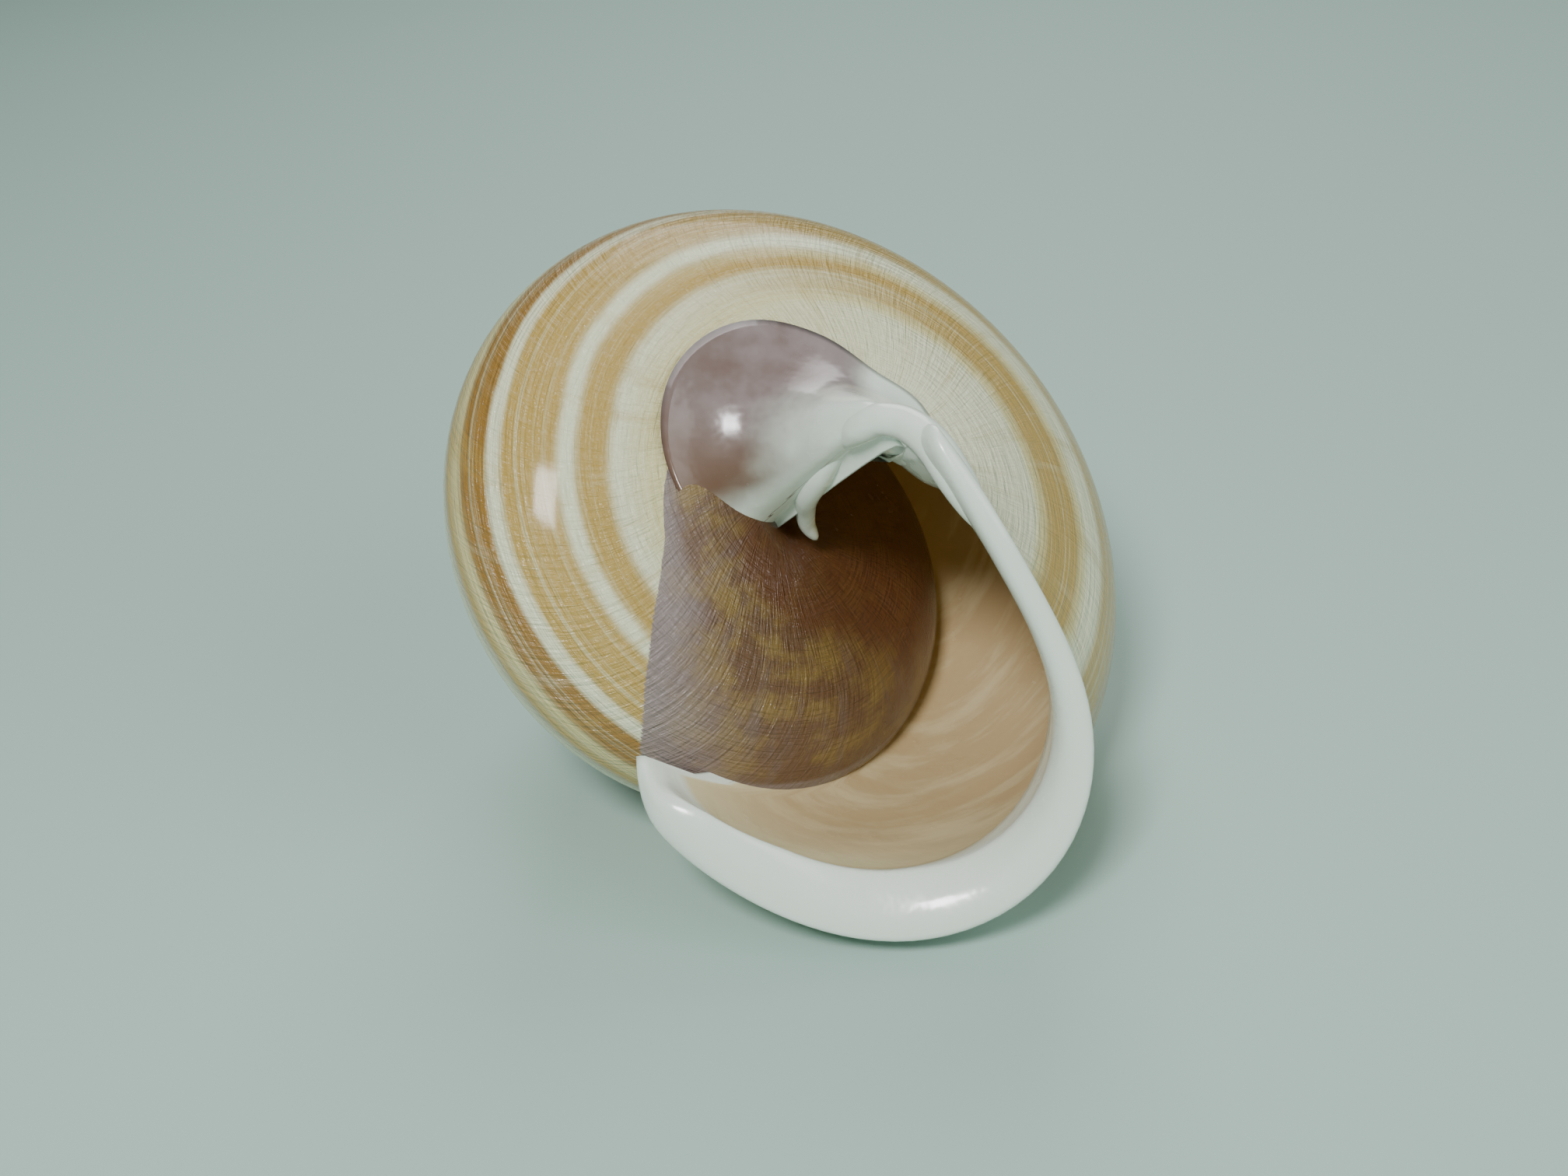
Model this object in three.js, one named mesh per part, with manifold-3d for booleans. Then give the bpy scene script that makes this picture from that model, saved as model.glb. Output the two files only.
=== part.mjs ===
// Land snail shell, one body grown round a slanting spiral. Millimetres, +Z up.
import * as THREE from "three";
import { mergeVertices } from "three/addons/utils/BufferGeometryUtils.js";
import Module from "manifold-3d";

// Spiral: sizes are those at the lip, and shrink by the growth ratio per whorl.
const whorls = 5.5;
const growth = 1.44;
const centreRadius = 13.3;
const centreDepth = 28.7;
const depthPower = 1.23;

// Whorl outline: a leaning oval with a faint three-sided swell.
const longHalf = 12.2;
const shortHalf = 9.2;
const leanDeg = 40;
const swell = 0.09;
const wall = 1.0;

// The last part of the whorl dips toward the base.
const dip = 2.8;
const dipSpanDeg = 120;

// Lip: turned out past the outline, and lagging at the base.
const sutureDeg = 38;
const umbilicusDeg = -200;
const lipReach = 2.1;
const lipReachSide = -0.6;
const lipReachTop = -1.6;
const lipWidth = 3.6;
const lipDepth = 2.4;
const lipSlantSide = 0.18;
const lipSlantTop = 0.57;
const columellaRetreat = 0.8;

// The umbilicus is filled, and the underside is worn flat where the shell lies.
const seamDeg = 100;
const umbilicusFill = 2.6;
const umbilicusSpanDeg = 35;
const restFlat = 0.3;

// Hollow, columella and mesh fineness.
const hollowWhorls = 1.6;
const columellaRadius = 3.4;
const columellaReach = 0.8;
const moundRadius = 6.2;
const moundTopRadius = 1.2;
const moundTopDepth = 33.8;
const outerPoints = 25;
const innerPoints = 16;
const pieceDeg = 170;
const mouthDeg = 90;
const stepsPerPiece = 9;
const lastSteps = 12;
const weldDistance = 0.01;

// Rest position: turns about X, Y and Z.
const restTurnDeg = [-141.86, -31.28, 116.91];

const rad = THREE.MathUtils.degToRad;
const turnAngle = 2 * Math.PI;

function growthAt(angle) {
  return growth ** (angle / turnAngle);
}

// Angles round the outline run from the hidden seam down past the base to it again.
function belowSeam(s) {
  const turns = Math.floor((s - rad(seamDeg)) / turnAngle) + 1;
  return s - Math.max(turns, 0) * turnAngle;
}

// Outline point at lip size, moved out by extra.
function outlinePoint(s, extra) {
  const k = 1 - swell * Math.cos(3 * s);
  const x = (longHalf + extra) * Math.cos(s) * k;
  const y = (shortHalf + extra) * Math.sin(s) * k;
  const lean = rad(leanDeg);
  const out = centreRadius + x * Math.cos(lean) - y * Math.sin(lean);
  const up = x * Math.sin(lean) + y * Math.cos(lean);
  return [extra < 0 ? out : Math.max(out - fillAt(s), 0.4), up];
}

function fillAt(s) {
  const away = (belowSeam(s) - rad(umbilicusDeg)) / rad(umbilicusSpanDeg);
  return umbilicusFill * Math.exp(-away * away);
}

// Point of the spiral surface for an outline point and an angle behind the lip.
function spiralPoint(angle, out, up) {
  const g = growthAt(angle);
  const late = Math.min(Math.max(1 + angle / rad(dipSpanDeg), 0), 1);
  const z = (up - dip * late * late) * g - centreDepth * g ** depthPower;
  return new THREE.Vector3(out * g * Math.cos(angle), out * g * Math.sin(angle), z);
}

// How far the lip lags behind the suture, as an angle, and the columella behind the lip.
function lipLag(s) {
  const slant = (q) => lipSlantSide * Math.cos(q) + lipSlantTop * Math.sin(q);
  const past = Math.max(rad(umbilicusDeg) - belowSeam(s), 0);
  return slant(Math.max(belowSeam(s), rad(umbilicusDeg))) - slant(rad(sutureDeg)) - columellaRetreat * past;
}

function lipReachAt(s) {
  return lipReach + lipReachSide * Math.cos(s) + lipReachTop * Math.sin(s);
}

// Closed solid through a row of rings, with a fan at each end.
function solidFromRings(wasm, rings) {
  const n = rings[0].length;
  const points = rings.flat();
  const faces = [];
  for (let i = 0; i + 1 < rings.length; i++) {
    for (let j = 0; j < n; j++) {
      const a = i * n + j;
      const b = i * n + ((j + 1) % n);
      faces.push(a, b, b + n, a, b + n, a + n);
    }
  }
  const middle = (ring) => {
    const sum = new THREE.Vector3();
    ring.forEach((p) => sum.add(p));
    return sum.divideScalar(ring.length);
  };
  const first = points.push(middle(rings[0])) - 1;
  const last = points.push(middle(rings[rings.length - 1])) - 1;
  const end = (rings.length - 1) * n;
  for (let j = 0; j < n; j++) {
    const k = (j + 1) % n;
    faces.push(first, k, j, last, end + j, end + k);
  }
  const vertProperties = new Float32Array(points.flatMap((p) => [p.x, p.y, p.z]));
  const triVerts = new Uint32Array(faces);
  const solid = new wasm.Manifold(new wasm.Mesh({ numProp: 3, vertProperties, triVerts }));
  return solid.volume() < 0 ? flipped(wasm, vertProperties, triVerts) : solid;
}

function flipped(wasm, vertProperties, triVerts) {
  const triVertsBack = triVerts.slice().reverse();
  return new wasm.Manifold(new wasm.Mesh({ numProp: 3, vertProperties, triVerts: triVertsBack }));
}

function ringAt(angleAt, extra, count, size = 1) {
  const ring = [];
  for (let j = 0; j < count; j++) {
    const s = (turnAngle * j) / count;
    const [out, up] = outlinePoint(s, extra);
    const x = centreRadius + (out - centreRadius) * size;
    ring.push(spiralPoint(angleAt(s), x, up * size));
  }
  return ring;
}

// Tube between two angles, both behind the lip.
function tube(wasm, fromDeg, toDeg, steps, extra, count) {
  const rings = [];
  for (let i = 0; i <= steps; i++) {
    const angle = rad(fromDeg + ((toDeg - fromDeg) * i) / steps);
    rings.push(ringAt(() => angle, extra, count));
  }
  return solidFromRings(wasm, rings);
}

// Rounded start of the spiral.
function nose(wasm, startDeg) {
  const rings = [];
  for (let i = 1; i <= 4; i++) {
    const t = i / 4;
    const angle = rad(startDeg - 60 * (1 - t));
    rings.push(ringAt(() => angle, 0, outerPoints, Math.sqrt(t * (2 - t))));
  }
  return solidFromRings(wasm, rings);
}

// End of the body whorl, cut off along the slanting lip or beyondDeg past it.
function mouthPiece(wasm, extra, count, beyondDeg) {
  const steps = 6;
  const rings = [];
  for (let i = 0; i <= steps; i++) {
    const t = i / steps;
    rings.push(ringAt((s) => rad(mouthDeg) * (t - 1) + t * lipLag(s), extra, count));
  }
  if (beyondDeg > 0) {
    rings.push(ringAt((s) => lipLag(s) + rad(beyondDeg), extra, count));
  }
  return solidFromRings(wasm, rings);
}

// Nearly half whorls counted back from the mouth piece, so that no two ends share a plane.
function backPieces(wasm, reachDeg, extra, count) {
  const pieces = [];
  for (let to = -mouthDeg; to > -reachDeg; to -= pieceDeg) {
    const from = Math.max(to - pieceDeg, -reachDeg);
    const steps = to === -mouthDeg ? lastSteps : stepsPerPiece;
    pieces.push(tube(wasm, from, to, steps, extra, count));
  }
  return pieces;
}

// Pillar round the axis, from the apex out to a mound that closes the umbilicus under the lip's end.
function columella(wasm) {
  const rings = [];
  for (let i = 1; i <= 9; i++) {
    const g = (columellaReach * i) / 9;
    rings.push(circle(columellaRadius * g, -4.5 * g - centreDepth * g ** depthPower));
  }
  const foot = -4.5 * columellaReach - centreDepth * columellaReach ** depthPower - 0.6;
  for (let i = 0; i <= 7; i++) {
    const t = i / 7;
    const radius = moundTopRadius + (moundRadius - moundTopRadius) * (1 - t) ** 1.5;
    rings.push(circle(radius, foot + (-moundTopDepth - foot) * t));
  }
  return solidFromRings(wasm, rings);
}

function circle(r, z) {
  const ring = [];
  for (let j = 0; j < 20; j++) {
    const a = (turnAngle * j) / 20;
    ring.push(new THREE.Vector3(r * Math.cos(a), r * Math.sin(a), z));
  }
  return ring;
}

// Rounded lip laid along the mouth, from the umbilicus to the suture.
function lip(wasm) {
  const steps = 44;
  const around = 10;
  const rings = [];
  for (let i = 0; i <= steps; i++) {
    const t = i / steps;
    const s = rad(umbilicusDeg + (sutureDeg + 8 - umbilicusDeg) * t);
    const fade = Math.sqrt(Math.min(1, 0.15 + 6 * (1 - t)) * Math.min(1, 0.3 + 8 * t));
    const ring = [];
    for (let j = 0; j < around; j++) {
      const a = (turnAngle * j) / around;
      const across = lipReachAt(s) - (lipWidth / 2) * (1 - Math.cos(a) * fade);
      const along = (lipDepth / 2) * Math.sin(a) * fade;
      const [out, up] = outlinePoint(s, across);
      const g = growthAt(lipLag(s));
      ring.push(spiralPoint(lipLag(s) + along / (Math.max(out, 4) * g), out, up));
    }
    rings.push(ring);
  }
  return solidFromRings(wasm, rings);
}

// Keeps the one skin that faces out, so that no pocket stays shut inside.
function withoutPockets(solid) {
  return solid.decompose().reduce((a, b) => (a.volume() > b.volume() ? a : b));
}

function makeSolid(wasm) {
  const reachDeg = whorls * 360;
  const outer = backPieces(wasm, reachDeg, 0, outerPoints);
  const pillar = columella(wasm);
  const mouth = mouthPiece(wasm, 0, outerPoints, 0);
  const grown = [mouth, ...outer, nose(wasm, -reachDeg), pillar].reduce((a, b) => a.add(b));
  const whole = withoutPockets(grown);
  const olderThan = (first) => outer.slice(first).reduce((a, b) => a.add(b), pillar);
  const hollows = backPieces(wasm, hollowWhorls * 360, -wall, innerPoints);
  const cuts = [mouthPiece(wasm, -wall, innerPoints, 25).subtract(olderThan(1))];
  hollows.forEach((hollow, i) => cuts.push(hollow.subtract(olderThan(i + 2))));
  const hollowed = cuts.reduce((a, b) => a.subtract(b), whole);
  return withoutPockets(hollowed.add(lip(wasm)));
}

function toGeometry(solid) {
  const { vertProperties, triVerts } = solid.getMesh();
  const geometry = new THREE.BufferGeometry();
  geometry.setAttribute("position", new THREE.BufferAttribute(vertProperties, 3));
  geometry.setIndex(new THREE.BufferAttribute(triVerts, 1));
  return geometry;
}

// Triangles left after slivers folded onto each other are dropped.
function unfolded(index) {
  const kept = new Map();
  for (let i = 0; i < index.length; i += 3) {
    const corners = [index[i], index[i + 1], index[i + 2]];
    if (new Set(corners).size < 3) {
      continue;
    }
    const key = [...corners].sort((a, b) => a - b).join(" ");
    if (!kept.delete(key)) {
      kept.set(key, corners);
    }
  }
  return new Uint32Array([...kept.values()].flat());
}

// Joins corners that all but touch, and drops the slivers this pinches off.
function welded(wasm, solid) {
  const merged = mergeVertices(toGeometry(solid), weldDistance);
  const vertProperties = merged.attributes.position.array;
  const triVerts = unfolded(merged.index.array);
  return withoutPockets(new wasm.Manifold(new wasm.Mesh({ numProp: 3, vertProperties, triVerts })));
}

function toMesh(solid, name, material) {
  const geometry = toGeometry(solid).toNonIndexed();
  geometry.computeVertexNormals();
  const mesh = new THREE.Mesh(geometry, material);
  mesh.name = name;
  return mesh;
}

// Turns the shell to the way it lies and sets it on the ground, centred.
function atRest(wasm, solid) {
  const [x, y, z] = restTurnDeg.map(rad);
  const turn = new THREE.Matrix4().makeRotationFromEuler(new THREE.Euler(x, y, z, "XYZ"));
  const turned = solid.transform(turn.elements);
  const { min, max } = turned.boundingBox();
  const middle = [-(min[0] + max[0]) / 2, -(min[1] + max[1]) / 2, -min[2] - restFlat];
  return turned.translate(middle).subtract(solidFromRings(wasm, [circle(60, -10), circle(60, 0)]));
}

const wasm = await Module();
wasm.setup();
const ivory = new THREE.MeshStandardMaterial({ color: 0xd8c39a, roughness: 0.35, metalness: 0 });
const group = new THREE.Group();
group.name = "land_snail_shell";
const shell = welded(wasm, atRest(wasm, makeSolid(wasm)));
group.add(toMesh(shell, "shell", ivory));

export default group;
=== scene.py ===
"""Looks of a left-coiling land snail shell lying on its side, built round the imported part."""

import logging
import math
from dataclasses import dataclass, field

import bpy
import numpy as np
from mathutils import Matrix, Vector


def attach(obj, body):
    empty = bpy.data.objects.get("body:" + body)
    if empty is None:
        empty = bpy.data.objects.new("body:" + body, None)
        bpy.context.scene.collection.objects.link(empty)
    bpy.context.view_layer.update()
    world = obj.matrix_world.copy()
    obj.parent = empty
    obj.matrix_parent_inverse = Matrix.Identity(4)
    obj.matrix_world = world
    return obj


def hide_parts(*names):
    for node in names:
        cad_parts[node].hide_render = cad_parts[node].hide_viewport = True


MM = 0.001
TURN = 2.0 * math.pi
ZONE_LIP = 1.0
ZONE_INSIDE = 3.0
ZONE_PAD = 4.0
ZONE_PAD_SPAN = 0.9
NO_CALLUS_DEG = -90.0

Colour = tuple[float, float, float, float]
Place = tuple[float, float, float]
Row = tuple[np.ndarray, np.ndarray, float]
Socket = bpy.types.NodeSocket
Value = bpy.types.NodeSocket | float

log = logging.getLogger("shell")
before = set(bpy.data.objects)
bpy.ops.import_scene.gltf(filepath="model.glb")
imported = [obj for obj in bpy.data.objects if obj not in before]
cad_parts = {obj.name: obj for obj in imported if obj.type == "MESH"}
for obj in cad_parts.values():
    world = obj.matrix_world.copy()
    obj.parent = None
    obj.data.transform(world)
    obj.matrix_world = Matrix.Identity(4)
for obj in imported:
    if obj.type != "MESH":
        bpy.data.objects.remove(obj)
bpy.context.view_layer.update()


def smooth_step(low: float, high: float, value: np.ndarray) -> np.ndarray:
    """Ease from 0 at low to 1 at high."""
    t = np.clip((value - low) / (high - low), 0.0, 1.0)
    return t * t * (3.0 - 2.0 * t)


def smooth_through(stops: np.ndarray, values: list[float], where: np.ndarray) -> np.ndarray:
    """Value at each place of a smooth curve through the values at the stops.

    Args:
        stops: Places of the known values, rising.
        values: Known value at each stop.
        where: Places to read the curve at.

    Returns:
        One value for each place.
    """
    values = np.asarray(values, dtype=float)
    slope = np.gradient(values, stops)
    i = np.clip(np.searchsorted(stops, where, side="right") - 1, 0, len(stops) - 2)
    width = stops[i + 1] - stops[i]
    t = (where - stops[i]) / width
    a = (1.0 + 2.0 * t) * (1.0 - t) ** 2 * values[i] + t * (1.0 - t) ** 2 * width * slope[i]
    b = t * t * (3.0 - 2.0 * t) * values[i + 1] - t * t * (1.0 - t) * width * slope[i + 1]
    return a + b


@dataclass(frozen=True)
class SpiralForm:
    """Growth of the whorls, in millimetres at the lip, with the spire's tip at the origin."""

    whorls: float = 5.5
    growth: float = 1.44
    centre_radius: float = 13.3
    centre_depth: float = 28.7
    depth_power: float = 1.23
    long_half: float = 12.2
    short_half: float = 9.2
    lean_deg: float = 40.0
    swell: float = 0.09
    wall: float = 1.0
    dip: float = 2.8
    dip_span_deg: float = 120.0
    suture_deg: float = 38.0
    umbilicus_deg: float = -180.0
    slant_side: float = 0.18
    slant_top: float = 0.57
    hidden_lag_deg: float = 200.0
    hidden_fade_deg: float = 14.0
    umbilicus_fill: float = 2.6
    umbilicus_span_deg: float = 35.0
    umbilicus_centre_deg: float = -200.0
    least_out: float = 0.05
    columella_thin: float = 1.7

    def scale(self, angle: np.ndarray) -> np.ndarray:
        """Size of the whorl at an angle behind the lip."""
        return self.growth ** (angle / TURN)

    def outline(self, around: np.ndarray, extra: np.ndarray) -> tuple[np.ndarray, np.ndarray]:
        """Outline of the whorl at the lip.

        Args:
            around: Angles round the outline.
            extra: Distance to move each point out.

        Returns:
            Distances from the axis, and heights.
        """
        lean = math.radians(self.lean_deg)
        k = 1.0 - self.swell * np.cos(3.0 * around)
        x = (self.long_half + extra) * np.cos(around) * k
        y = (self.short_half + extra) * np.sin(around) * k
        out = self.centre_radius + x * math.cos(lean) - y * math.sin(lean)
        centre = math.radians(self.umbilicus_centre_deg)
        away = (around - centre) / math.radians(self.umbilicus_span_deg)
        filled = np.maximum(out - self.umbilicus_fill * np.exp(-away * away), self.least_out)
        return np.where(extra != 0.0, out, filled), x * math.sin(lean) + y * math.cos(lean)

    def shrink(self, out: np.ndarray, size: float) -> np.ndarray:
        """Distances from the axis with the outline drawn in toward its centre."""
        return self.centre_radius + (out - self.centre_radius) * size

    def place(self, angle: np.ndarray, out: np.ndarray, up: np.ndarray) -> np.ndarray:
        """Points of the spiral surface for outline points at angles behind the lip."""
        g = self.scale(angle)
        late = np.clip(1.0 + angle / math.radians(self.dip_span_deg), 0.0, 1.0)
        z = (up - self.dip * late * late) * g - self.centre_depth * g**self.depth_power
        return np.stack([out * g * np.cos(angle), out * g * np.sin(angle), z], axis=-1)

    def lag(self, around: np.ndarray) -> np.ndarray:
        """Angle by which the slanting lip lags behind the suture."""
        start = math.radians(self.suture_deg)
        end = math.radians(self.umbilicus_deg)
        kept = np.clip(around, end, start)
        here = self.slant_side * np.cos(kept) + self.slant_top * np.sin(kept)
        level = self.slant_side * math.cos(start) + self.slant_top * math.sin(start)
        fade = math.radians(self.hidden_fade_deg)
        hidden = smooth_step(start, start + fade, around) + 1.0 - smooth_step(end - fade, end, around)
        return (here - level) * (1.0 - hidden) - math.radians(self.hidden_lag_deg) * hidden


@dataclass(frozen=True)
class Rest:
    """How the shell lies: turns in degrees and the place of the spire's tip in millimetres."""

    turn_deg: Place = (-141.86, -31.28, 116.91)
    tip: Place = (-12.857, 12.915, 1.834)

    def matrix(self) -> Matrix:
        """Turn and move from the spiral's own frame to the frame of the part, in metres."""
        x, y, z = (math.radians(a) for a in self.turn_deg)
        turn = Matrix.Rotation(x, 4, "X") @ Matrix.Rotation(y, 4, "Y") @ Matrix.Rotation(z, 4, "Z")
        return Matrix.Translation(Vector(self.tip) * MM) @ turn @ Matrix.Scale(MM, 4)


def select(pieces: list[bpy.types.Object]) -> None:
    """Select these pieces alone, with the last one active."""
    bpy.ops.object.select_all(action="DESELECT")
    for piece in pieces:
        piece.select_set(True)
    bpy.context.view_layer.objects.active = pieces[-1]


def skin(points: np.ndarray, columns: int, rest: Rest, values: dict) -> bpy.types.Object:
    """Lay a sheet over rows of points.

    Args:
        points: Places in the spiral's frame in millimetres, row after row.
        columns: Number of faces along a row.
        rest: How the shell lies.
        values: Numbers for the finish to read, by attribute name, one or one for each point.

    Returns:
        The new piece.
    """
    bpy.ops.object.select_all(action="DESELECT")
    bpy.ops.mesh.primitive_grid_add(
        x_subdivisions=columns, y_subdivisions=len(points) // (columns + 1) - 1, size=1.0
    )
    piece = bpy.context.object
    turned = np.array(rest.matrix())
    placed = points @ turned[:3, :3].T + turned[:3, 3]
    piece.data.vertices.foreach_set("co", placed.ravel())
    for name, value in values.items():
        layer = piece.data.attributes.new(name, "FLOAT", "POINT")
        layer.data.foreach_set("value", np.full(len(points), value, dtype=np.float32))
    return piece


def close(piece: bpy.types.Object) -> None:
    """Merge the seam of a piece, fill both its ends and face the skin outwards."""
    select([piece])
    bpy.ops.object.mode_set(mode="EDIT")
    bpy.ops.mesh.select_all(action="SELECT")
    bpy.ops.mesh.remove_doubles(threshold=1e-6)
    bpy.ops.mesh.select_all(action="DESELECT")
    bpy.ops.mesh.select_non_manifold(extend=False)
    bpy.ops.mesh.fill_holes(sides=0)
    bpy.ops.mesh.select_all(action="SELECT")
    bpy.ops.mesh.normals_make_consistent(inside=False)
    bpy.ops.object.mode_set(mode="OBJECT")
    bpy.ops.object.shade_smooth()


@dataclass(frozen=True)
class LipForm:
    """Turned-out lip: how far it stands out, how wide its face is, and its round profile."""

    reach: float = 2.1
    reach_side: float = -0.6
    reach_top: float = -1.6
    face_stops_deg: tuple[float, ...] = (-200, -160, -120, -80, -40, -10, 10, 25, 40)
    face_widths: tuple[float, ...] = (2.2, 2.3, 2.5, 3.1, 3.8, 3.6, 3.0, 2.2, 1.2)
    behind: float = 2.6
    rise: float = 0.9
    profile_stops: tuple[float, ...] = (0.0, 0.14, 0.30, 0.42, 0.52, 0.66, 0.80, 0.90, 1.0)
    step_count: int = 29
    start_deg: tuple[float, float] = (-6.0, 10.0)
    end_deg: tuple[float, float] = (-24.0, 5.0)

    def reach_at(self, around: np.ndarray) -> np.ndarray:
        """Distance the lip stands out past the whorl."""
        return self.reach + self.reach_side * np.cos(around) + self.reach_top * np.sin(around)

    def present(self, around: np.ndarray, form: SpiralForm) -> np.ndarray:
        """Share of the lip that stands out: 1 on most of the rim, 0 on its hidden part."""
        deg = np.degrees(around)
        low, full = (form.umbilicus_deg + d for d in self.start_deg)
        high, gone = (form.suture_deg + d for d in self.end_deg)
        return smooth_step(low, full, deg) * (1.0 - smooth_step(high, gone, deg))

    def profile(self, around: np.ndarray, wall: float) -> tuple[np.ndarray, np.ndarray]:
        """Outward and forward offsets of the lip's profile, from its back to its inside.

        Args:
            around: Angles round the whorl's outline.
            wall: Thickness of the shell behind the lip.

        Returns:
            Two arrays with one row for each step of the profile.
        """
        reach = self.reach_at(around)
        face = np.interp(np.degrees(around), self.face_stops_deg, self.face_widths)
        inner = reach - face
        stops = np.array(self.profile_stops)
        outward = [0 * reach, 0.18 * reach, 0.75 * reach, reach, 0.92 * reach,
                   reach - 0.5 * face, inner + 0.25, inner - 0.05, 0 * reach - wall]
        forward = [-self.behind, -0.55 * self.behind, -0.5, 0.0, 0.55 * self.rise,
                   self.rise, 0.35 * self.rise, -0.4, -self.behind]
        steps = np.linspace(0.0, 1.0, self.step_count)
        rows_out = [
            smooth_through(stops, [o[i] for o in outward], steps) for i in range(len(around))
        ]
        row_forward = smooth_through(stops, forward, steps)
        return np.array(rows_out).T, np.repeat(row_forward[:, None], len(around), axis=1)


@dataclass(frozen=True)
class CallusPad:
    """Smooth callus that rises from the base to the columella and closes the umbilicus.

    The pad is a bell round a point by the axis. Each stop gives, for a direction round the axis,
    the pad's reach, the depth of its edge and the width of the bell, in millimetres, and how
    steep the bell's side is. Under its edge the sheet turns in and goes down inside the columella.
    """

    centre: tuple[float, float] = (0.8, 0.5)
    top_depth: float = 37.0
    inner_depth: float = 19.0
    stops: tuple[tuple[float, float, float, float, float], ...] = (
        (-180, 6.6, 31.56, 3.0, 2.2),
        (-150, 6.5, 32.72, 3.2, 2.4),
        (-125, 5.8, 33.62, 3.0, 2.6),
        (-105, 4.6, 34.35, 2.4, 2.8),
        (-88, 3.2, 35.4, 1.8, 3.0),
        (-70, 1.8, 36.0, 1.3, 3.6),
        (-50, 1.5, 25.0, 0.95, 4.0),
        (-20, 1.8, 24.0, 0.9, 4.0),
        (8, 4.0, 25.0, 1.1, 3.6),
        (38, 6.0, 26.2, 1.6, 3.0),
        (70, 8.1, 27.4, 2.0, 2.4),
        (100, 9.3, 28.35, 2.6, 2.2),
        (130, 9.2, 29.5, 2.9, 2.2),
        (155, 7.9, 30.62, 3.0, 2.2),
    )
    ring_count: int = 28
    side_count: int = 96
    ring_power: float = 1.6
    first_ring: float = 0.01
    hem_reach: float = 0.95
    hem_rise: float = 1.0
    foot_reach: float = 0.6
    turn: float = -0.5
    behind: float = 0.3

    def across(self, direction_deg: np.ndarray, column: int) -> np.ndarray:
        """One column of the stops, smoothly round all directions."""
        around = [*self.stops[-2:], *self.stops, *self.stops[:3]]
        stops = np.array([s[0] for s in around], dtype=float)
        stops[:2] -= 360.0
        stops[-3:] += 360.0
        where = (direction_deg + 180.0) % 360.0 - 180.0
        return smooth_through(stops, [s[column] for s in around], where)

    def build(self, rest: Rest) -> bpy.types.Object:
        """Shape a sheet into the bell and its underside.

        Args:
            rest: How the shell lies.

        Returns:
            The pad, still open at both ends.
        """
        direction = np.linspace(0.0, 360.0, self.side_count + 1)
        reach, edge, width, power = (self.across(direction, c) for c in (1, 2, 3, 4))
        rows = []
        for ring in range(self.ring_count):
            far = self.first_ring + (ring / (self.ring_count - 1)) ** self.ring_power
            bell = 1.0 / (1.0 + (far * reach / width) ** power)
            low = 1.0 / (1.0 + (reach / width) ** power)
            share = (bell - low) / (1.0 - low)
            rows.append((far * reach, -edge - (self.top_depth - edge) * share))
        rows.append((np.minimum(reach, self.hem_reach), self.hem_rise - edge))
        foot = np.full_like(direction, self.foot_reach)
        rows.append((foot, np.full_like(direction, -self.inner_depth)))
        turn = np.radians(direction)
        x, y = self.centre
        points = np.concatenate([
            np.stack([x + r * np.cos(turn), y + r * np.sin(turn), z], axis=-1) for r, z in rows
        ])
        far = np.repeat(np.linspace(0.0, 1.0, len(rows)), len(direction))
        return skin(points, self.side_count, rest, {
            "turn": self.turn,
            "around": np.tile(direction / 360.0, len(rows)),
            "zone": ZONE_PAD + far * ZONE_PAD_SPAN,
            "behind": self.behind,
            "callus": NO_CALLUS_DEG,
        })


@dataclass(frozen=True)
class Ridge:
    """Round ridge along a smooth path; each stop is a place in the spiral's frame and a radius."""

    stops: tuple[tuple[float, float, float, float], ...]
    zone: float = 1.5
    step_count: int = 48
    side_count: int = 28
    end_power: int = 8
    end_share: float = 0.02
    aside: Place = (0.3, 0.8, 0.5)
    turn: float = -0.08
    around: float = -0.52
    behind: float = 0.3

    def build(self, rest: Rest) -> bpy.types.Object:
        """Sweep a circle along the path.

        Args:
            rest: How the shell lies.

        Returns:
            The ridge, still open at both ends.
        """
        stops = np.array(self.stops)
        spacing = np.linalg.norm(np.diff(stops[:, :3], axis=0), axis=1)
        place = np.concatenate([[0.0], np.cumsum(spacing)])
        where = np.linspace(0.0, place[-1], self.step_count)
        path = np.stack([smooth_through(place, stops[:, c], where) for c in range(4)], axis=-1)
        centre, radius = path[:, :3], path[:, 3]
        end = 1.0 - np.linspace(-1.0, 1.0, self.step_count) ** self.end_power
        radius = radius * np.sqrt(np.clip(end, self.end_share, 1.0))
        along = np.gradient(centre, axis=0)
        along /= np.linalg.norm(along, axis=1)[:, None]
        side = np.cross(along, np.array(self.aside))
        side /= np.linalg.norm(side, axis=1)[:, None]
        other = np.cross(along, side)
        turn = np.linspace(0.0, TURN, self.side_count + 1)[None, :, None]
        ring = np.cos(turn) * side[:, None] + np.sin(turn) * other[:, None]
        points = (centre[:, None] + radius[:, None, None] * ring).reshape(-1, 3)
        return skin(points, self.side_count, rest, {
            "turn": self.turn,
            "around": self.around,
            "zone": self.zone,
            "behind": self.behind,
            "callus": NO_CALLUS_DEG,
        })


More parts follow.
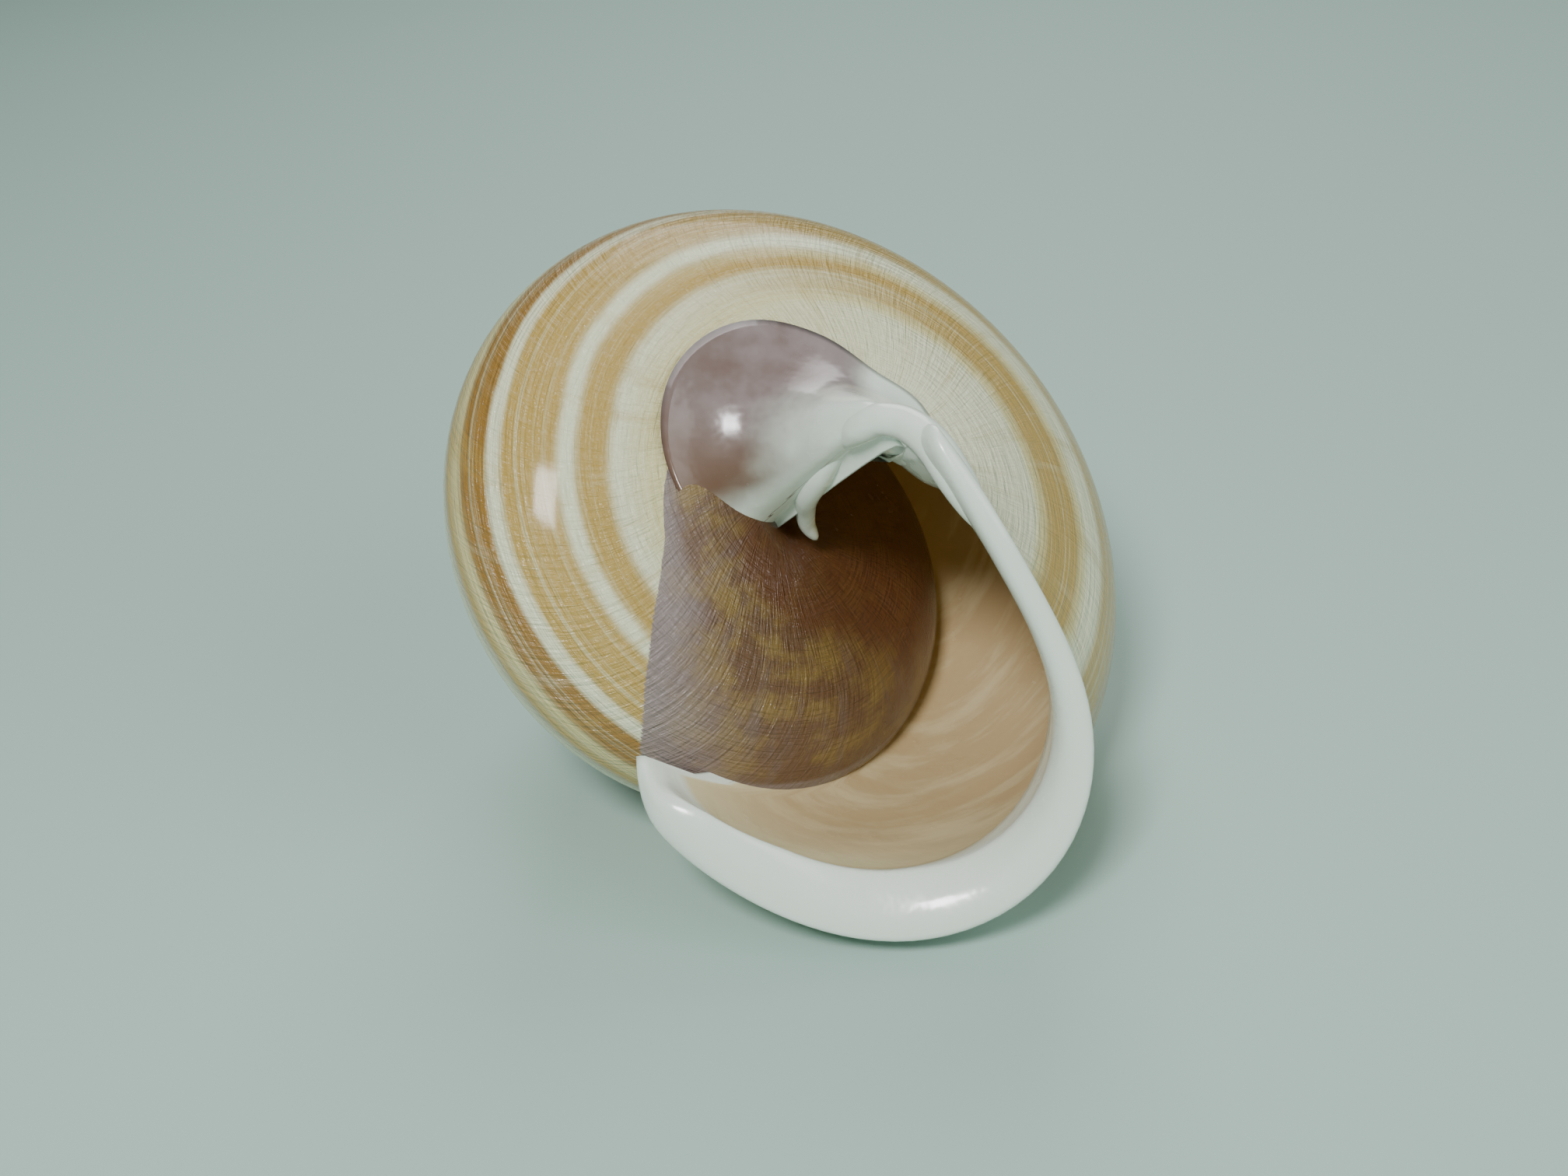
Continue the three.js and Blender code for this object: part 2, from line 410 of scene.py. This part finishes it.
LIP_END = Ridge((
    (4.2, -6.6, -38.3, 0.55),
    (3.5, -5.0, -38.9, 0.9),
    (2.75, -3.6, -38.95, 1.0),
    (1.95, -2.5, -38.7, 1.0),
    (1.25, -1.55, -38.15, 0.97),
    (0.8, -0.6, -37.4, 0.92),
    (0.78, 0.2, -36.6, 0.9),
    (0.95, 0.6, -35.4, 0.9),
    (0.87, 0.64, -33.0, 0.8),
))
COLUMELLA_TWIST = Ridge((
    (0.8, 0.5, -33.5, 0.4),
    (1.1, 0.3, -31.7, 0.62),
    (1.4, 0.0, -29.9, 0.7),
    (1.45, -0.4, -28.0, 0.65),
    (1.1, -1.1, -26.3, 0.58),
    (1.0, -2.0, -25.0, 0.5),
    (1.0, -3.0, -24.4, 0.42),
))


class Nodes:
    """Short ways to add and link the nodes of one material."""

    def __init__(self, name: str) -> None:
        """Start an empty material with a shader and an output."""
        self.material = bpy.data.materials.new(name)
        self.material.use_nodes = True
        self.tree = self.material.node_tree
        self.shader = self.tree.nodes["Principled BSDF"]

    def add(self, kind: str, links: dict, **settings: str) -> bpy.types.Node:
        """Add a node, set its options and link or fill its inputs.

        Args:
            kind: Blender's name of the node type.
            links: Sockets or plain values by input name or number.
            **settings: Options of the node itself.

        Returns:
            The new node.
        """
        node = self.tree.nodes.new(kind)
        for name, value in settings.items():
            setattr(node, name, value)
        for key, value in links.items():
            if isinstance(value, bpy.types.NodeSocket):
                self.tree.links.new(value, node.inputs[key])
            else:
                node.inputs[key].default_value = value
        return node

    def end(self, name: str, socket: Socket) -> None:
        """Link a socket to an input of the shader."""
        self.tree.links.new(socket, self.shader.inputs[name])

    def read(self, name: str) -> Socket:
        """Number stored on the points under a name."""
        return self.add("ShaderNodeAttribute", {}, attribute_name=name).outputs["Fac"]

    def here(self) -> Socket:
        """Place of the point on the piece."""
        return self.add("ShaderNodeTexCoord", {}).outputs["Object"]

    def calc(self, operation: str, a: Value, b: Value = 0.0) -> Socket:
        """One arithmetic step."""
        return self.add("ShaderNodeMath", {0: a, 1: b}, operation=operation).outputs[0]

    def times(self, a: Value, b: Value) -> Socket:
        """Product of two numbers."""
        return self.calc("MULTIPLY", a, b)

    def plus(self, a: Value, b: Value) -> Socket:
        """Sum of two numbers."""
        return self.calc("ADD", a, b)

    def vector(self, x: Value, y: Value, z: Value = 0.0) -> Socket:
        """Vector of three numbers."""
        return self.add("ShaderNodeCombineXYZ", {0: x, 1: y, 2: z}).outputs[0]

    def noise(self, vector: Socket, scale: float, detail: float = 3.0) -> Socket:
        """Smooth noise between about 0.3 and 0.7."""
        links = {"Vector": vector, "Scale": scale, "Detail": detail, "Roughness": 0.6}
        return self.add("ShaderNodeTexNoise", links).outputs[0]

    def streaks(
        self, along: Socket, often: float, across: Socket, fine: float,
        detail: float = 4.0, scale: float = 1.0,
    ) -> Socket:
        """Noise drawn out into streaks.

        Args:
            along: Number that grows along the whorl.
            often: How often the noise changes along it.
            across: Number that grows round the whorl.
            fine: How often the noise changes across it.
            detail: Layers of finer noise.
            scale: Scale of the whole.

        Returns:
            The noise.
        """
        place = self.vector(self.times(along, often), self.times(across, fine))
        return self.noise(place, scale, detail)

    def step(self, value: Value, low: float, high: float) -> Socket:
        """Ease from 0 at low to 1 at high, also where high is the smaller one."""
        links = {"Value": value, "From Min": low, "From Max": high}
        return self.add("ShaderNodeMapRange", links, interpolation_type="SMOOTHSTEP").outputs[0]

    def mix(self, share: Value, a: Socket | Colour, b: Socket | Colour) -> Socket:
        """Blend of two colours."""
        links = {0: share, 6: a, 7: b}
        return self.add("ShaderNodeMix", links, data_type="RGBA").outputs[2]

    def tint(self, colour: Socket, other: Socket | Colour, mask: Socket, most: float) -> Socket:
        """Colour moved toward another where the mask is on, by the given share at most."""
        return self.mix(self.times(mask, most), colour, other)

    def ramp(self, value: Value, stops: list[tuple[float, Colour]]) -> Socket:
        """Colour along a list of stops, each a place and a colour."""
        node = self.add("ShaderNodeValToRGB", {0: value})
        elements = node.color_ramp.elements
        elements.remove(elements[1])
        for i, (place, colour) in enumerate(stops):
            element = elements[0] if i == 0 else elements.new(place)
            element.position = place
            element.color = colour
        return node.outputs[0]


@dataclass(frozen=True)
class ShellFinish:
    """Banded glossy outside, dark callus, white lip and warm inside with a painted glow, as node
    colours.
    """

    cream: Colour = (0.66, 0.60, 0.29, 1.0)
    pale: Colour = (0.74, 0.76, 0.52, 1.0)
    tan: Colour = (0.46, 0.31, 0.075, 1.0)
    dark_tan: Colour = (0.30, 0.16, 0.028, 1.0)
    grey_edge: Colour = (0.42, 0.40, 0.28, 1.0)
    porcelain: Colour = (0.78, 0.86, 0.76, 1.0)
    mauve: Colour = (0.17, 0.115, 0.10, 1.0)
    mauve_grey: Colour = (0.27, 0.22, 0.215, 1.0)
    brown: Colour = (0.145, 0.075, 0.036, 1.0)
    ochre: Colour = (0.235, 0.15, 0.045, 1.0)
    red_brown: Colour = (0.13, 0.045, 0.016, 1.0)
    inner_cream: Colour = (0.70, 0.62, 0.38, 1.0)
    inner_tan: Colour = (0.50, 0.37, 0.20, 1.0)
    # inner_ochre is also the colour of the painted glow inside the hollow.
    inner_ochre: Colour = (0.52, 0.33, 0.05, 1.0)
    black: Colour = (0.0, 0.0, 0.0, 1.0)
    bands_from_deg: float = -200.0
    bands_span_deg: float = 240.0
    relief: float = 0.75
    relief_depth: float = 0.0003
    smoothest: float = 0.14
    roughest: float = 0.30
    painted_glow: float = 0.28
    # Strength of the painted glow (emission) inside the hollow.
    coat: float = 0.35
    coat_roughness: float = 0.12
    refraction: float = 1.53

    def build(self) -> bpy.types.Material:
        """Make the whole finish in one material."""
        kit = Nodes("shell_finish")
        turn = kit.read("turn")
        around = kit.times(kit.read("around"), 360.0)
        zone = kit.read("zone")
        behind = kit.read("behind")
        outside = self.outside(kit, turn, around, behind)
        callus = self.callus(kit, turn, around)
        inside = self.inside(kit, around, behind)
        pad = self.pad(kit, around, zone)
        ragged = kit.noise(kit.vector(turn, kit.times(around, 0.05)), 30.0)
        side = kit.plus(kit.read("callus"), kit.times(ragged, 2.0))
        colour = kit.mix(kit.step(side, 0.7, 1.3), outside, callus)
        colour = kit.mix(kit.step(zone, 0.03, 0.30), colour, self.porcelain)
        colour = kit.mix(kit.step(zone, 1.85, 2.6), colour, inside)
        colour = kit.mix(kit.step(zone, 3.2, 3.6), colour, pad)
        kit.end("Base Color", colour)
        self.surface(kit, around, zone, behind)
        # Painted glow inside the hollow, and the clear coat.
        self.light(kit, around, zone, behind)
        return kit.material

    def bands(self, kit: Nodes, share: Socket, stops: tuple) -> Socket:
        """Bands of colour from stops, each a place round the whorl in degrees and a colour."""
        start, span = self.bands_from_deg, self.bands_span_deg
        return kit.ramp(share, [((degrees - start) / span, colour) for degrees, colour in stops])

    def outside(self, kit: Nodes, turn: Socket, around: Socket, behind: Socket) -> Socket:
        """Spiral bands that move as the whorl grows, with growth streaks across them.

        Args:
            kit: Nodes of the finish.
            turn: Turns round the axis, below 0 behind the lip.
            around: Degrees round the whorl.
            behind: Turns behind the lip.

        Returns:
            Colour of the bare outside.
        """
        wobble = kit.noise(kit.vector(kit.times(behind, 9.0), 0.0), 1.0, 2.0)
        place = kit.plus(around, kit.times(kit.calc("SUBTRACT", wobble, 0.5), 5.0))
        share = kit.calc("DIVIDE", kit.plus(place, -self.bands_from_deg), self.bands_span_deg)
        pale, cream, tan, dark = self.pale, self.cream, self.tan, self.dark_tan
        early = self.bands(kit, share, (
            (-190, pale), (-150, cream), (-126, cream), (-112, pale), (-107, tan), (-98, tan),
            (-95, pale), (-92, pale), (-89, tan), (-76, tan), (-72, tan), (-70, pale),
            (-67, pale), (-65, dark), (-55, dark), (-52, cream), (-44, tan),
            (-40, self.grey_edge), (-34, pale), (-20, tan), (-8, tan), (-4, cream), (6, cream),
            (10, tan), (24, tan), (30, pale), (38, pale),
        ))
        late = self.bands(kit, share, (
            (-190, pale), (-128, pale), (-124, cream), (-118, tan), (-104, tan), (-100, cream),
            (-96, pale), (-90, pale), (-86, tan), (-76, tan), (-70, dark), (-60, tan),
            (-54, pale), (-48, cream), (-44, tan), (-30, tan), (-26, pale), (-18, tan),
            (-6, tan), (0, pale), (14, cream), (20, tan), (30, cream), (38, pale),
        ))
        colour = kit.mix(kit.step(turn, -0.78, -0.42), early, late)
        fine = kit.streaks(behind, 0.6, around, 0.55)
        colour = kit.tint(colour, pale, kit.step(fine, 0.50, 0.66), 0.35)
        streak = kit.streaks(behind, 46.0, around, 0.012)
        colour = kit.tint(colour, tan, kit.step(streak, 0.52, 0.72), 0.40)
        colour = kit.tint(colour, pale, kit.step(streak, 0.44, 0.28), 0.16)
        old = kit.step(turn, -0.9, -2.0)
        colour = kit.tint(colour, kit.mix(0.35, self.brown, dark), old, 0.62)
        return kit.mix(kit.step(turn, -2.9, -4.2), colour, self.mauve)

    def callus(self, kit: Nodes, turn: Socket, around: Socket) -> Socket:
        """Thin dark callus on the wall inside the mouth."""
        spot = kit.streaks(turn, 14.0, around, 0.035, detail=5.0, scale=1.6)
        ray = kit.streaks(turn, 60.0, around, 0.02, detail=3.0)
        colour = kit.mix(kit.step(spot, 0.42, 0.62), self.brown, self.ochre)
        colour = kit.tint(colour, self.mauve, kit.step(ray, 0.48, 0.68), 0.45)
        depth = kit.read("callus")
        near = kit.step(kit.plus(depth, kit.times(spot, 20.0)), 46.0, 8.0)
        colour = kit.tint(colour, self.mauve_grey, near, 0.8)
        return kit.tint(colour, self.red_brown, kit.step(depth, 70.0, 105.0), 0.8)

    def inside(self, kit: Nodes, around: Socket, behind: Socket) -> Socket:
        """Inside of the hollow, paler near the lip, with growth lines along it."""
        lines = kit.streaks(behind, 40.0, around, 0.02)
        base = kit.mix(kit.step(around, -60.0, -125.0), self.inner_tan, self.inner_ochre)
        base = kit.tint(base, self.inner_cream, kit.step(lines, 0.45, 0.66), 0.5)
        base = kit.mix(kit.step(behind, 0.10, 0.01), base, self.inner_cream)
        return kit.tint(base, self.red_brown, kit.step(behind, 0.22, 0.6), 0.6)

    def pad(self, kit: Nodes, around: Socket, zone: Socket) -> Socket:
        """Callus over the umbilicus, white by the lip and mauve toward the left."""
        cloud = kit.noise(kit.here(), 170.0, 4.0)
        far = kit.calc("SUBTRACT", zone, ZONE_PAD)
        away = kit.calc("ABSOLUTE", kit.calc("SUBTRACT", around, 105.0))
        turned = kit.step(kit.plus(away, kit.times(cloud, 30.0)), 98.0, 70.0)
        outer = kit.step(kit.plus(far, kit.times(cloud, 0.3)), 0.36, 0.72)
        mottled = kit.mix(kit.step(cloud, 0.36, 0.66), self.mauve_grey, self.mauve)
        low = kit.step(kit.plus(around, kit.times(cloud, 40.0)), 120.0, 70.0)
        mottled = kit.tint(mottled, self.brown, low, 0.8)
        rim = kit.times(kit.step(far, 0.83, 0.87), kit.step(around, 60.0, 85.0))
        mottled = kit.mix(rim, mottled, self.mauve_grey)
        return kit.mix(kit.times(turned, outer), self.porcelain, mottled)

    def surface(self, kit: Nodes, around: Socket, zone: Socket, behind: Socket) -> None:
        """Gloss and fine relief: growth lines, spiral lines and a hammered net."""
        growth = kit.streaks(behind, 330.0, around, 0.06, detail=3.0)
        spiral = kit.streaks(behind, 22.0, around, 0.62, detail=3.0)
        height = kit.times(kit.plus(growth, spiral), kit.step(zone, 0.3, 0.05))
        soft = kit.noise(kit.here(), 330.0, 3.0)
        height = kit.plus(height, kit.times(soft, 0.5))
        bump = {"Height": height, "Strength": self.relief, "Distance": self.relief_depth}
        kit.end("Normal", kit.add("ShaderNodeBump", bump).outputs[0])
        span = {"From Min": 0.3, "From Max": 0.7, "To Min": self.smoothest, "To Max": self.roughest}
        kit.end("Roughness", kit.add("ShaderNodeMapRange", {"Value": soft, **span}).outputs[0])

    def light(self, kit: Nodes, around: Socket, zone: Socket, behind: Socket) -> None:
        """Painted glow in warm ochre inside the hollow, standing in for light through the thin wall,
        and the clear coat.
        """
        # Painted glow: emission in warm ochre inside the hollow behind the lip, with no lamp there.
        painted_glow = kit.times(kit.step(zone, 1.9, 2.8), kit.step(zone, 3.6, 3.2))
        painted_glow = kit.times(painted_glow, kit.step(around, -30.0, -110.0))
        painted_glow = kit.times(painted_glow, kit.step(behind, 0.75, 0.2))
        kit.end("Emission Color", kit.mix(painted_glow, self.black, self.inner_ochre))
        kit.shader.inputs["Emission Strength"].default_value = self.painted_glow
        kit.shader.inputs["Coat Weight"].default_value = self.coat
        kit.shader.inputs["Coat Roughness"].default_value = self.coat_roughness
        kit.shader.inputs["IOR"].default_value = self.refraction


@dataclass
class Shell:
    """The whole shell: outside of the whorls, lip and spiral hollow, as one closed skin."""

    form: SpiralForm = field(default_factory=SpiralForm)
    lip: LipForm = field(default_factory=LipForm)
    pad: CallusPad = field(default_factory=CallusPad)
    rest: Rest = field(default_factory=Rest)
    around_steps: int = 120
    seam_deg: float = 100.0
    tip_deg: float = 40.0
    tip_from: float = 0.02
    tip_rows: int = 10
    row_deg: float = 4.0
    last_deg: float = 240.0
    last_rows: int = 61
    hollow_turns: float = 1.3
    hollow_rows: int = 110
    hollow_round: float = 0.97
    least_area: float = 1e-4
    least_radius: float = 4.0
    callus_stops_deg: tuple[float, ...] = (
        -200.0, -160, -131, -126, -119, -110, -103, -92, -83, -74, -62, -30)
    callus_edge_deg: tuple[float, ...] = (
        -180, -240, -307, -323, -332, -339, -343, -349, -353, -357, -361, -366)
    callus_side_deg: float = -62.0
    callus_top_deg: float = -58.0
    piece: bpy.types.Object | None = None

    def build(self) -> bpy.types.Object:
        """Roll a flat sheet into the whorls, over the lip and back into the hollow.

        Returns:
            The shell, joined with its callus pad and ridges.
        """
        around = math.radians(self.seam_deg) - np.linspace(0.0, TURN, self.around_steps + 1)
        rows = self.outside_rows(around) + self.lip_rows(around) + self.inside_rows(around)
        points = np.concatenate([row[0] for row in rows])
        self.piece = skin(points, self.around_steps, self.rest, self.values(rows, around))
        self.piece.name = "snail_shell"
        close(self.piece)
        grown = [part.build(self.rest) for part in (self.pad, LIP_END, COLUMELLA_TWIST)]
        for part in grown:
            close(part)
        select([*grown, self.piece])
        bpy.ops.object.join()
        return self.piece

    def outside_rows(self, around: np.ndarray) -> list[Row]:
        """Rows of the outside, from the spire's tip to just behind the lip.

        Args:
            around: Angles round the whorl's outline.

        Returns:
            Points, angles behind the lip and zone of each row.
        """
        rows = []
        out, up = self.form.outline(around, 0.0)
        last = math.radians(self.last_deg)
        start = -self.form.whorls * TURN
        for t in np.linspace(self.tip_from, 1.0, self.tip_rows):
            angle = np.full_like(around, start - math.radians(self.tip_deg) * (1.0 - t))
            size = math.sqrt(t * (2.0 - t))
            points = self.form.place(angle, self.form.shrink(out, size), up * size)
            rows.append((points, angle, 0.0))
        count = int((self.form.whorls * 360.0 - self.last_deg) / self.row_deg)
        for t in np.linspace(0.0, 1.0, count)[1:]:
            angle = np.full_like(around, start + (-last - start) * t)
            rows.append((self.form.place(angle, out, up), angle, 0.0))
        end = self.form.lag(around) - self.along(around, self.lip.behind)
        for t in np.linspace(0.0, 1.0, self.last_rows)[1:-1]:
            angle = -last + (end + last) * t
            rows.append((self.form.place(angle, out, up), angle, 0.0))
        return rows

    def along(self, around: np.ndarray, distance: np.ndarray) -> np.ndarray:
        """Angle round the axis that a distance at the lip takes."""
        out, _ = self.form.outline(around, 0.0)
        scale = self.form.scale(self.form.lag(around))
        return distance / (np.maximum(out, self.least_radius) * scale)

    def lip_rows(self, around: np.ndarray) -> list[Row]:
        """Rows of the lip, from its back over its round edge to the inside.

        Args:
            around: Angles round the whorl's outline.

        Returns:
            Points, angles behind the lip and zone of each row.
        """
        present = self.lip.present(around, self.form)
        outward, forward = self.lip.profile(around, self.form.wall)
        steps = len(outward)
        rows = []
        for i in range(steps):
            t = i / (steps - 1)
            plain_out = self.inner_extra(around) * smooth_step(0.4, 0.6, np.array(t))
            plain_along = -self.lip.behind * abs(2.0 * t - 1.0)
            extra = plain_out + (outward[i] - plain_out) * present
            move = plain_along + (forward[i] - plain_along) * present
            angle = self.form.lag(around) + self.along(around, move)
            points = self.form.place(angle, *self.form.outline(around, extra))
            rows.append((points, angle, ZONE_LIP + t))
        return rows

    def inside_rows(self, around: np.ndarray) -> list[Row]:
        """Rows of the hollow, from behind the lip to its rounded end.

        Args:
            around: Angles round the whorl's outline.

        Returns:
            Points, angles behind the lip and zone of each row.
        """
        rows = []
        begin = self.form.lag(around) - self.along(around, self.lip.behind)
        depth = self.hollow_turns * TURN
        out, up = self.form.outline(around, self.inner_extra(around))
        for t in np.linspace(0.0, 1.0, self.hollow_rows)[1:]:
            angle = begin * (1.0 - t) - depth * t
            area = 1.0 - smooth_step(self.hollow_round, 1.0, np.array(t))
            size = math.sqrt(max(self.least_area, area))
            points = self.form.place(angle, self.form.shrink(out, size), up * size)
            rows.append((points, angle, ZONE_INSIDE))
        return rows

    def inner_extra(self, around: np.ndarray) -> np.ndarray:
        """Offset of the inside from the whorl's outline, thin toward the columella."""
        form = self.form
        away = (np.degrees(around) - form.umbilicus_centre_deg) / form.umbilicus_span_deg
        return -form.wall + form.columella_thin * np.exp(-away * away)

    def values(self, rows: list[Row], around: np.ndarray) -> dict[str, np.ndarray]:
        """Numbers on the points for the finish to read.

        Args:
            rows: All rows of the skin.
            around: Angles round the whorl's outline.

        Returns:
            One number for each point, by attribute name.
        """
        turn = np.concatenate([row[1] for row in rows]) / TURN
        place = np.tile(around / TURN, len(rows))
        return {
            "turn": turn,
            "around": place,
            "zone": np.repeat([row[2] for row in rows], len(around)),
            "behind": np.tile(self.form.lag(around) / TURN, len(rows)) - turn,
            "callus": self.callus_depth(turn, place),
        }

    def callus_depth(self, turn: np.ndarray, place: np.ndarray) -> np.ndarray:
        """Degrees past the callus's edge, below 0 on the bare outside."""
        degrees = place * 360.0
        stops = np.array(self.callus_stops_deg)
        edge = smooth_through(stops, self.callus_edge_deg, np.clip(degrees, stops[0], stops[-1]))
        past = edge - turn * 360.0
        above = np.minimum(past, self.callus_top_deg - degrees)
        return np.where(degrees < self.callus_side_deg, past, above)

    def dress(self) -> None:
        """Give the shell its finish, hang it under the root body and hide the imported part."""
        material = ShellFinish().build()
        self.piece.data.materials.clear()
        self.piece.data.materials.append(material)
        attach(self.piece, "root")
        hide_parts("shell")


@dataclass(frozen=True)
class View:
    """Camera of the photograph: lens and place in millimetres, turns in degrees."""

    lens: float = 41.57
    sensor: float = 36.0
    azimuth: float = 3.13
    elevation: float = 30.62
    roll: float = -4.64
    place: Place = (4.6, -92.8, 67.2)
    clip_start: float = 0.005

    def build(self) -> bpy.types.Object:
        """Add the camera where the photograph was taken from."""
        bpy.ops.object.camera_add(location=(0.0, 0.0, 0.0))
        camera = bpy.context.object
        camera.data.sensor_width = self.sensor
        camera.data.lens = self.lens
        camera.data.clip_start = self.clip_start
        turn = Matrix.Rotation(math.radians(self.azimuth), 4, "Z")
        turn = turn @ Matrix.Rotation(math.radians(90.0 - self.elevation), 4, "X")
        turn = turn @ Matrix.Rotation(math.radians(self.roll), 4, "Z")
        camera.matrix_world = Matrix.Translation(Vector(self.place) * MM) @ turn
        bpy.context.scene.camera = camera
        return camera


@dataclass(frozen=True)
class Lamp:
    """Square lamp that looks at the shell: metres and watts."""

    name: str
    place: Place
    size: float
    watts: float
    aim: Place = (0.0, 0.0, 0.015)

    def build(self) -> bpy.types.Object:
        """Add the lamp."""
        bpy.ops.object.light_add(type="AREA", location=self.place)
        lamp = bpy.context.object
        lamp.name = self.name
        lamp.data.size = self.size
        lamp.data.energy = self.watts
        look = Vector(self.aim) - Vector(self.place)
        lamp.rotation_euler = look.to_track_quat("-Z", "Y").to_euler()
        return lamp


@dataclass(frozen=True)
class Studio:
    """Pale floor, soft light and the camera."""

    floor_size: float = 4.0
    floor_colour: Colour = (0.40, 0.56, 0.50, 1.0)
    floor_roughness: float = 0.6
    sky: Colour = (0.62, 0.78, 0.72, 1.0)
    sky_strength: float = 0.22
    lamps: tuple[Lamp, ...] = (
        Lamp("key", (-0.07, -0.21, 0.28), 0.08, 1.15),
        Lamp("fill", (0.25, -0.15, 0.22), 0.25, 0.45),
        Lamp("back", (0.02, 0.25, 0.25), 0.2, 0.45),
    )
    view: View = View()

    def build(self) -> None:
        """Add the floor, the lamps, the light of the room and the camera."""
        bpy.ops.object.select_all(action="DESELECT")
        bpy.ops.mesh.primitive_plane_add(size=self.floor_size, location=(0.0, 0.0, 0.0))
        floor = bpy.context.object
        floor.name = "floor"
        material = bpy.data.materials.new("floor")
        material.use_nodes = True
        shader = material.node_tree.nodes["Principled BSDF"]
        shader.inputs["Base Color"].default_value = self.floor_colour
        shader.inputs["Roughness"].default_value = self.floor_roughness
        floor.data.materials.append(material)
        for lamp in self.lamps:
            lamp.build()
        world = bpy.data.worlds.new("soft_room")
        world.use_nodes = True
        room = world.node_tree.nodes["Background"]
        room.inputs["Color"].default_value = self.sky
        room.inputs["Strength"].default_value = self.sky_strength
        bpy.context.scene.world = world
        self.view.build()


def main() -> None:
    """Build every piece in order."""
    logging.basicConfig(level=logging.INFO, format="%(message)s")
    shell = Shell()
    shell.build()
    shell.dress()
    log.info("shell: %d faces", len(shell.piece.data.polygons))
    Studio().build()
    log.info("studio done")


if __name__ == "__main__":
    main()
